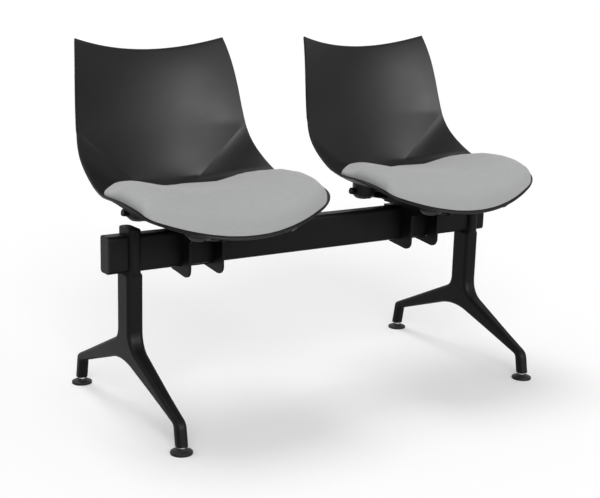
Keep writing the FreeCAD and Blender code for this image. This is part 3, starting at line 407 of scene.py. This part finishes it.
# %% Give each CAD piece its finish
FINISH_BY_WORD = [
    ("glide_base", glide_plastic),
    ("glide_stud", zinc),
    ("leg_screws", black_oxide),
    ("leg_inserts", zinc),
    ("end_cap", cap_plastic),
    ("tube_caps", cap_plastic),
    ("mount_cups", cup_plastic),
    ("pad_screws", black_oxide),
    ("cup_screws", black_oxide),
    ("clamp_bolts", zinc),
    ("clamp_nuts", zinc),
    ("pad_board", plywood),
]


def finish_of(name):
    for word, material in FINISH_BY_WORD:
        if name.endswith(word):
            return material
    return powder_coat


def wear(piece, material):
    piece.data.materials.clear()
    piece.data.materials.append(material)


for name, piece in nodes.items():
    wear(piece, finish_of(name))
print("CAD pieces finished:", len(nodes))

# %% [markdown]
# ## The shell's guide curves
# A moulded shell could be sculpted, but it is easier to keep true if two curves steer it: the line
# down its middle and the line round its rim. Every section across the seat hangs between them. On
# each side a fold runs from the rim down to the seat, and outside it the wing is a little hollow.

# %% Guide curves, in metres from the seat's middle and the beam's middle
BEAM_MIDDLE_Y = -0.0132
SEAT_MIDDLES = {"left": -0.3, "right": 0.3}
SHELL_WALL = 0.005
CENTRE_LINE = [
    (0, 0.261, 0.771), (0, 0.226, 0.690), (0, 0.198, 0.604), (0, 0.176, 0.540),
    (0, 0.152, 0.482), (0, 0.112, 0.452), (0, 0.050, 0.4435), (0, -0.040, 0.448),
    (0, -0.130, 0.456), (0, -0.198, 0.447), (0, -0.230, 0.425),
]
RIM = [
    (0.184, 0.231, 0.7985), (0.2018, 0.191, 0.697), (0.2113, 0.1665, 0.606), (0.2196, 0.1265, 0.5495),
    (0.2248, 0.0626, 0.512), (0.230, 0.025, 0.502), (0.2375, -0.020, 0.498), (0.243, -0.069, 0.500),
    (0.242, -0.120, 0.4945), (0.2305, -0.159, 0.483), (0.1975, -0.187, 0.463),
]
FOLD_START = Vector(RIM[2])
FOLD_END = Vector((0.0704, 0.1507, 0.478))
FOLD_FADE = 0.012
WING_HOLLOW = 0.6
WING_GROWTH = 0.03
RIM_STRIP = 0.003


def smooth_curve(points):
    """A cubic curve through points that reaches point k at k; returns a function of k."""
    points = np.array(points, float)
    count = len(points)
    slopes = np.zeros((count, count))
    sides = np.zeros_like(points)
    slopes[0, 0] = slopes[-1, -1] = 1
    sides[0] = (-11 * points[0] + 18 * points[1] - 9 * points[2] + 2 * points[3]) / 6
    sides[-1] = (11 * points[-1] - 18 * points[-2] + 9 * points[-3] - 2 * points[-4]) / 6
    for k in range(1, count - 1):
        slopes[k, k - 1:k + 2] = (1, 4, 1)
        sides[k] = 3 * (points[k + 1] - points[k - 1])
    tangents = np.linalg.solve(slopes, sides)

    def at(k):
        start = min(int(k), count - 2)
        t = k - start
        return Vector(
            (2 * t ** 3 - 3 * t ** 2 + 1) * points[start]
            + (t ** 3 - 2 * t ** 2 + t) * tangents[start]
            + (3 * t ** 2 - 2 * t ** 3) * points[start + 1]
            + (t ** 3 - t ** 2) * tangents[start + 1]
        )

    return at


middle_at = smooth_curve(CENTRE_LINE)
rim_at = smooth_curve(RIM)
print("guide curves through", len(RIM), "points each")

# %% Sections across the shell
INNER_STEPS = 14
WING_STEPS = 8
STEPS_PER_STATION = 10
LAST_STATION = len(RIM) - 1


def ease(share):
    share = min(1.0, max(0.0, share))
    return share * share * (3 - 2 * share)


def shell_section(station):
    """Points across the shell's upper face, from the left rim to the right rim."""
    middle, rim = middle_at(station), rim_at(station)
    rise = Vector((0, rim.y - middle.y, rim.z - middle.z))
    rim_height = rise.length
    rise.normalize()

    def bowl(x):
        return rim_height * (x / rim.x) ** 2

    if middle.z > FOLD_START.z - SHELL_WALL:
        fold_x = rim.x - RIM_STRIP
        fold_height = bowl(fold_x)
        folded = 1.0
    elif middle.z < FOLD_END.z:
        fold_x, fold_height, folded = FOLD_END.x, bowl(FOLD_END.x), 0.0
    else:
        normal = Vector((1, 0, 0)).cross(rise)
        along = FOLD_END - FOLD_START
        point = FOLD_START + along * ((middle - FOLD_START).dot(normal) / along.dot(normal))
        folded = ease((point.x - FOLD_END.x) / FOLD_FADE)
        fold_x = point.x
        fold_height = bowl(fold_x) + ((point - middle).dot(rise) - bowl(fold_x)) * folded
    half = []
    for k in range(INNER_STEPS + 1):
        share = k / INNER_STEPS
        half.append((fold_x * share, fold_height * share ** 2))
    hollow = WING_HOLLOW * ease((rim.x - RIM_STRIP - fold_x) / WING_GROWTH)
    for k in range(1, WING_STEPS + 1):
        share = k / WING_STEPS
        x = fold_x + (rim.x - fold_x) * share
        wing = fold_height + (rim_height - fold_height) * share * (1 - hollow * (1 - share))
        half.append((x, bowl(x) + (wing - bowl(x)) * folded))
    whole = [(-x, height) for x, height in reversed(half[1:])] + half
    return [middle + Vector((x, BEAM_MIDDLE_Y, 0)) + rise * height for x, height in whole]


upper_face = np.array([
    shell_section(k / STEPS_PER_STATION) for k in range(LAST_STATION * STEPS_PER_STATION + 1)
])
print("upper face of the shell:", upper_face.shape[0], "by", upper_face.shape[1], "points")

# %% Shell mesh: two faces and a rounded rim
RIM_ROUNDING = 0.002
FOLD_ROWS = range(21, 48)


def grid_normals(grid):
    """Unit normals of a grid of points, on the sitter's side."""
    down = np.gradient(grid, axis=0)
    across = np.gradient(grid, axis=1)
    normals = np.cross(across, -down)
    return normals / np.linalg.norm(normals, axis=2, keepdims=True)


def new_piece(name, mesh, material, body="frame"):
    piece = bpy.data.objects.new(name, mesh)
    scene.collection.objects.link(piece)
    wear(piece, material)
    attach(piece, body)
    return piece


def shell_mesh():
    rows, columns = upper_face.shape[:2]
    lower_face = upper_face - grid_normals(upper_face) * SHELL_WALL
    work = bmesh.new()
    top = [[work.verts.new(p) for p in row] for row in upper_face]
    low = [[work.verts.new(p) for p in row] for row in lower_face]
    for i in range(rows - 1):
        for j in range(columns - 1):
            work.faces.new((top[i][j], top[i + 1][j], top[i + 1][j + 1], top[i][j + 1]))
            work.faces.new((low[i][j], low[i][j + 1], low[i + 1][j + 1], low[i + 1][j]))
    loop = [(0, j) for j in range(columns - 1)] + [(i, columns - 1) for i in range(rows - 1)]
    loop += [(rows - 1, j) for j in range(columns - 1, 0, -1)] + [(i, 0) for i in range(rows - 1, 0, -1)]
    rim_edges = []
    for k, (i, j) in enumerate(loop):
        m, n = loop[(k + 1) % len(loop)]
        work.faces.new((top[i][j], top[m][n], low[m][n], low[i][j]))
        rim_edges.append(work.edges.get((top[i][j], top[m][n])))
        rim_edges.append(work.edges.get((low[i][j], low[m][n])))
    for side_step in (-INNER_STEPS, INNER_STEPS):
        column = columns // 2 + side_step
        for layer in (top, low):
            for i in FOLD_ROWS:
                work.edges.get((layer[i][column], layer[i + 1][column])).smooth = False
    bmesh.ops.recalc_face_normals(work, faces=work.faces)
    bmesh.ops.bevel(work, geom=rim_edges, offset=RIM_ROUNDING, segments=3, profile=0.5, affect="EDGES")
    for face in work.faces:
        face.smooth = True
    mesh = bpy.data.meshes.new("seat_shell")
    work.to_mesh(mesh)
    work.free()
    return mesh


for side, middle_x in SEAT_MIDDLES.items():
    mesh = shell_mesh()
    mesh.transform(Matrix.Translation((middle_x, 0, 0)))
    shell = new_piece(side + "_moulded_shell", mesh, shell_plastic)
    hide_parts(side + "_seat_shell")
print("shell faces:", len(mesh.polygons))

# %% [markdown]
# ## The upholstered pad
# The pad is foam glued to a thin board and wrapped in fabric. It lies in the shell's bowl, follows
# its rim all round and is pulled under at the edge, so the edge is a roll and not a step. It starts
# as a slightly thin pad whose underside fits the shell. Cloth with a little air pressure then tightens
# an even copy of it, as foam does from inside. The fine pad moves as the cloth did, with a cap so that
# it can't swell past its neighbours, and stays still at its seam, so the seam keeps a clean line.

# %% Outline of the pad
PAD_REAR = [(0, 0.114), (0.057, 0.098), (0.107, 0.087), (0.156, 0.064), (0.203, 0.024), (0.230, -0.009)]
PAD_SIDES = [(7, 0.014), (8, 0.017), (8.7, 0.0155), (9.1, 0.012), (9.35, 0.005), (9.7, 0.0035)]
LIP_STEP = 4
LIP_INSET = 0.0035
PAD_GAP = 0.0012
OUTLINE_POINTS = 260


def mirrored(points):
    return [(-x, y) for x, y in points]


def drawn_in(before, point, after, distance):
    """A point moved inwards, square to the line through its neighbours."""
    along = (Vector(after) - Vector(before)).normalized()
    return point[0] + along.y * distance, point[1] - along.x * distance


def pad_outline():
    """Plan view of the pad: across behind, inside the rim and round the lip."""
    slight = 0.01
    sides = []
    for station, distance in PAD_SIDES:
        before, point, after = (tuple(rim_at(station + step))[:2] for step in (-slight, 0, slight))
        sides.append(drawn_in(before, point, after, distance))
    lip = [(x, y - BEAM_MIDDLE_Y) for x, y, _ in upper_face[-1][:INNER_STEPS + WING_STEPS:-LIP_STEP]]
    lip_ends = [lip[0]] + lip + [lip[-1]]
    lip = [drawn_in(*lip_ends[k:k + 3], LIP_INSET) for k in range(len(lip))]
    lip_middle = (0, CENTRE_LINE[-1][1] + LIP_INSET)
    right_half = PAD_REAR + sides + lip
    loop = right_half + [lip_middle] + mirrored(right_half[:0:-1])
    spare = 3
    wrapped = loop[-spare:] + loop + loop[:spare]
    round_curve = smooth_curve([(*point, 0) for point in wrapped])
    fine = [round_curve(spare + k / 20) for k in range(len(loop) * 20)]
    return np.array([(point.x, point.y + BEAM_MIDDLE_Y) for point in fine])


def resample(points, count):
    """Evenly spaced points round a closed line."""
    closed = np.vstack([points, points[:1]])
    lengths = np.concatenate([[0], np.cumsum(np.linalg.norm(np.diff(closed, axis=0), axis=1))])
    spots = np.linspace(0, lengths[-1], count, endpoint=False)
    return np.column_stack([np.interp(spots, lengths, closed[:, k]) for k in (0, 1)])


def rounded(points, rounds):
    """Softens corners by averaging each point with its neighbours."""
    for _ in range(rounds):
        points = (np.roll(points, 1, axis=0) + 2 * points + np.roll(points, -1, axis=0)) / 4
    return points


outline = rounded(resample(pad_outline(), OUTLINE_POINTS), 3)
print("pad outline in mm:", (outline.min(axis=0) * 1000).round(), (outline.max(axis=0) * 1000).round())

# %% Pad form before the fabric is tightened
PAD_THICKNESS = 0.044
PAD_REAR_DIP = 0.006
REAR_ROLL = 0.037
FRONT_ROLL = 0.072
TIP_THINNING = 0.4
ROLL_FULLNESS = 2.4
ROLL_ROOT = 0.42
PAD_RINGS = 46


def shell_heights():
    """A function that gives the height of the shell's upper face over a point."""
    rows, columns = upper_face.shape[:2]
    faces = [
        (i * columns + j, (i + 1) * columns + j, (i + 1) * columns + j + 1, i * columns + j + 1)
        for i in range(rows - 1) for j in range(columns - 1)
    ]
    tree = BVHTree.FromPolygons([Vector(p) for p in upper_face.reshape(-1, 3)], faces)

    def height(x, y):
        hit = tree.ray_cast(Vector((x, y, 0.2)), Vector((0, 0, 1)))[0]
        if hit is None:
            hit = tree.find_nearest(Vector((x, y, 0.48)))[0]
        return hit.z

    return height


shell_height = shell_heights()


def edge_distance(point):
    """Distance from a point to the outline's straight pieces."""
    along = np.roll(outline, -1, axis=0) - outline
    share = ((point - outline) * along).sum(axis=1) / (along ** 2).sum(axis=1)
    nearest = outline + along * np.clip(share, 0, 1)[:, None]
    return np.linalg.norm(nearest - point, axis=1).min()


def pad_heights(x, y):
    """Underside and upper side of the pad over a point."""
    base = shell_height(x, y) + PAD_GAP
    inwards = edge_distance(np.array((x, y)))
    dip = PAD_REAR_DIP * ease((y - 0.03) / 0.07) * (1 - ease(abs(x) / 0.14))
    tip = TIP_THINNING * ease((abs(x) - 0.19) / 0.04) * ease((y + 0.09) / 0.05)
    roll_reach = FRONT_ROLL + (REAR_ROLL - FRONT_ROLL) * ease((y + 0.033) / 0.06)
    roll = (1 - max(0.0, 1 - inwards / roll_reach) ** ROLL_FULLNESS) ** ROLL_ROOT
    return base, base + max(0.0006, (PAD_THICKNESS - dip) * (1 - tip) * roll)


def pad_mesh(name):
    centre = np.array((0.0, -0.055 + BEAM_MIDDLE_Y))
    work = bmesh.new()
    shares = [math.sin(k / PAD_RINGS * math.pi / 2) for k in range(1, PAD_RINGS + 1)]
    low_centre, high_centre = pad_heights(*centre)
    layers = []
    for layer, z in ((0, low_centre), (1, high_centre)):
        middle = work.verts.new((*centre, z))
        rings = []
        for share in shares:
            ring = []
            for point in outline:
                x, y = centre + (point - centre) * share
                ring.append(work.verts.new((x, y, pad_heights(x, y)[layer])))
            rings.append(ring)
        layers.append((middle, rings))
    count = len(outline)
    for middle, rings in layers:
        for j in range(count):
            work.faces.new((middle, rings[0][j], rings[0][(j + 1) % count]))
        for inner, outer in zip(rings, rings[1:]):
            for j in range(count):
                n = (j + 1) % count
                work.faces.new((inner[j], outer[j], outer[n], inner[n]))
    low_edge, high_edge = layers[0][1][-1], layers[1][1][-1]
    for j in range(count):
        n = (j + 1) % count
        work.faces.new((low_edge[j], low_edge[n], high_edge[n], high_edge[j]))
    bmesh.ops.recalc_face_normals(work, faces=work.faces)
    mesh = bpy.data.meshes.new(name)
    work.to_mesh(mesh)
    work.free()
    mesh.shade_smooth()
    return mesh


pad_start = pad_mesh("pad_start")
print("pad faces before tightening:", len(pad_start.polygons))

# %% Tighten the fabric with cloth and air pressure
VOXEL = 0.005
PRESSURE = 4.0
LAST_FRAME = 20
SWELL_CAP = 0.006
SEAM_REACH = 0.025
NEIGHBOURS = 24


def applied(piece):
    """The piece's mesh with all its modifiers applied."""
    graph = bpy.context.evaluated_depsgraph_get()
    return bpy.data.meshes.new_from_object(piece.evaluated_get(graph))


def corners(mesh):
    return np.array([vertex.co for vertex in mesh.vertices])


def cloth_swell(mesh):
    """Points of an even copy of the pad, and how far air pressure moves each of them."""
    helper = bpy.data.objects.new("pad_helper", mesh)
    scene.collection.objects.link(helper)
    remesh = helper.modifiers.new("even", "REMESH")
    remesh.mode = "VOXEL"
    remesh.voxel_size = VOXEL
    even = applied(helper)
    helper.modifiers.clear()
    helper.data = even
    held = helper.vertex_groups.new(name="held")
    for vertex in even.vertices:
        if vertex.normal.z < -0.2:
            held.add([vertex.index], 1.0, "REPLACE")
    cloth = helper.modifiers.new("cloth", "CLOTH")
    cloth.settings.use_pressure = True
    cloth.settings.uniform_pressure_force = PRESSURE
    cloth.settings.vertex_group_mass = "held"
    cloth.settings.tension_stiffness = 25
    cloth.settings.compression_stiffness = 25
    cloth.settings.bending_stiffness = 4
    cloth.settings.effector_weights.gravity = 0
    cloth.point_cache.frame_end = LAST_FRAME
    for step in range(1, LAST_FRAME + 1):
        scene.frame_set(step)
    rest = corners(even)
    shift = corners(applied(helper)) - rest
    scene.frame_set(1)
    bpy.data.objects.remove(helper)
    length = np.linalg.norm(shift, axis=1, keepdims=True)
    return rest, shift * np.minimum(1.0, SWELL_CAP / np.maximum(length, 1e-9))


def tightened(mesh):
    """The fine pad, moved as the cloth moved near each point and held at its seam."""
    rest, shift = cloth_swell(mesh)
    near = KDTree(len(rest))
    for k, point in enumerate(rest):
        near.insert(point, k)
    near.balance()
    result = mesh.copy()
    greatest = 0.0
    for vertex in result.vertices:
        if vertex.normal.z < 0:
            continue
        found = near.find_n(vertex.co, NEIGHBOURS)
        weights = np.array([1 / (distance + VOXEL) for _, _, distance in found])
        mean = weights @ shift[[index for _, index, _ in found]] / weights.sum()
        move = mean * ease(edge_distance(np.array(vertex.co[:2])) / SEAM_REACH)
        vertex.co += Vector(move)
        greatest = max(greatest, float(np.linalg.norm(move)))
    print("cloth: greatest move", round(greatest * 1000, 1), "mm")
    return result


pad_final = tightened(pad_start)
pad_final.shade_smooth()
for side, middle_x in SEAT_MIDDLES.items():
    mesh = pad_final.copy()
    mesh.transform(Matrix.Translation((middle_x, 0, 0)))
    pad = new_piece(side + "_upholstered_pad", mesh, grey_weave)
    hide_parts(side + "_seat_pad")
print("pad faces:", len(pad_final.polygons))

# %% [markdown]
# ## Studio
# The object stands on white paper with a soft shadow under it. Two suns do the work, because a sun
# lights the paper evenly out to the horizon where a near lamp would leave it grey: a high one from
# behind on the left, whose shadow falls forward and to the right, and a weak one in front. Wide suns
# give soft shadows. A third light is seen only in the gloss of the backs, as a window would be. The
# paper is clear from below, so that the underside can be looked at.

# %% Floor
PAPER_GLOW = 0.2
PAPER_HALF_WIDTH = 60


def build_floor():
    material, tree, shader = start_material("paper")
    shader.inputs["Base Color"].default_value = (0.86, 0.86, 0.86, 1)
    shader.inputs["Roughness"].default_value = 0.9
    shader.inputs["Specular IOR Level"].default_value = 0.1
    seen = tree.nodes.new("ShaderNodeLightPath")
    rays = math_node(tree, "MAXIMUM", seen.outputs["Is Camera Ray"], seen.outputs["Is Glossy Ray"])
    rays = math_node(tree, "MAXIMUM", rays, seen.outputs["Is Transmission Ray"])
    shader.inputs["Emission Color"].default_value = (1, 1, 1, 1)
    tree.links.new(math_node(tree, "MULTIPLY", rays, PAPER_GLOW), shader.inputs["Emission Strength"])
    clear = tree.nodes.new("ShaderNodeBsdfTransparent")
    sides = tree.nodes.new("ShaderNodeMixShader")
    tree.links.new(tree.nodes.new("ShaderNodeNewGeometry").outputs["Backfacing"], sides.inputs[0])
    tree.links.new(shader.outputs[0], sides.inputs[1])
    tree.links.new(clear.outputs[0], sides.inputs[2])
    finish = next(node for node in tree.nodes if node.type == "OUTPUT_MATERIAL")
    tree.links.new(sides.outputs[0], finish.inputs["Surface"])
    mesh = bpy.data.meshes.new("paper")
    size = PAPER_HALF_WIDTH
    corner_points = [(-size, -size, 0), (size, -size, 0), (size, size, 0), (-size, size, 0)]
    mesh.from_pydata(corner_points, [], [(0, 1, 2, 3)])
    floor = bpy.data.objects.new("paper_floor", mesh)
    scene.collection.objects.link(floor)
    wear(floor, material)


build_floor()
print("floor laid")

# %% Lamps and background
WORLD_LIGHT = 0.4


def add_sun(name, towards, strength, spread_degrees):
    """A sun in the direction given, seen from the object."""
    lamp = bpy.data.lights.new(name, "SUN")
    lamp.energy = strength
    lamp.angle = math.radians(spread_degrees)
    holder = bpy.data.objects.new(name, lamp)
    holder.rotation_euler = Vector(towards).to_track_quat("Z", "Y").to_euler()
    scene.collection.objects.link(holder)
    return holder


add_sun("high_sun", (-0.2, 1.3, 3.4), 1.0, 30)
add_sun("front_sun", (-1.5, -2.6, 1.7), 1.5, 40)
sheen = add_sun("sheen_sun", (0.2, -0.916, 0.33), 3.7, 16)
sheen.visible_diffuse = False

world = bpy.data.worlds.new("studio")
world.use_nodes = True
scene.world = world
tree = world.node_tree
tree.nodes.clear()
background = tree.nodes.new("ShaderNodeBackground")
sees = tree.nodes.new("ShaderNodeLightPath")
direct = math_node(tree, "MAXIMUM", sees.outputs["Is Camera Ray"], sees.outputs["Is Transmission Ray"])
direct = math_node(tree, "MAXIMUM", direct, sees.outputs["Is Glossy Ray"])
strength = math_node(tree, "ADD", math_node(tree, "MULTIPLY", direct, 1 - WORLD_LIGHT), WORLD_LIGHT)
tree.links.new(strength, background.inputs["Strength"])
background.inputs["Color"].default_value = (1, 1, 1, 1)
tree.links.new(background.outputs[0], tree.nodes.new("ShaderNodeOutputWorld").inputs["Surface"])
scene.view_settings.view_transform = "Standard"
print("lamps and background ready")
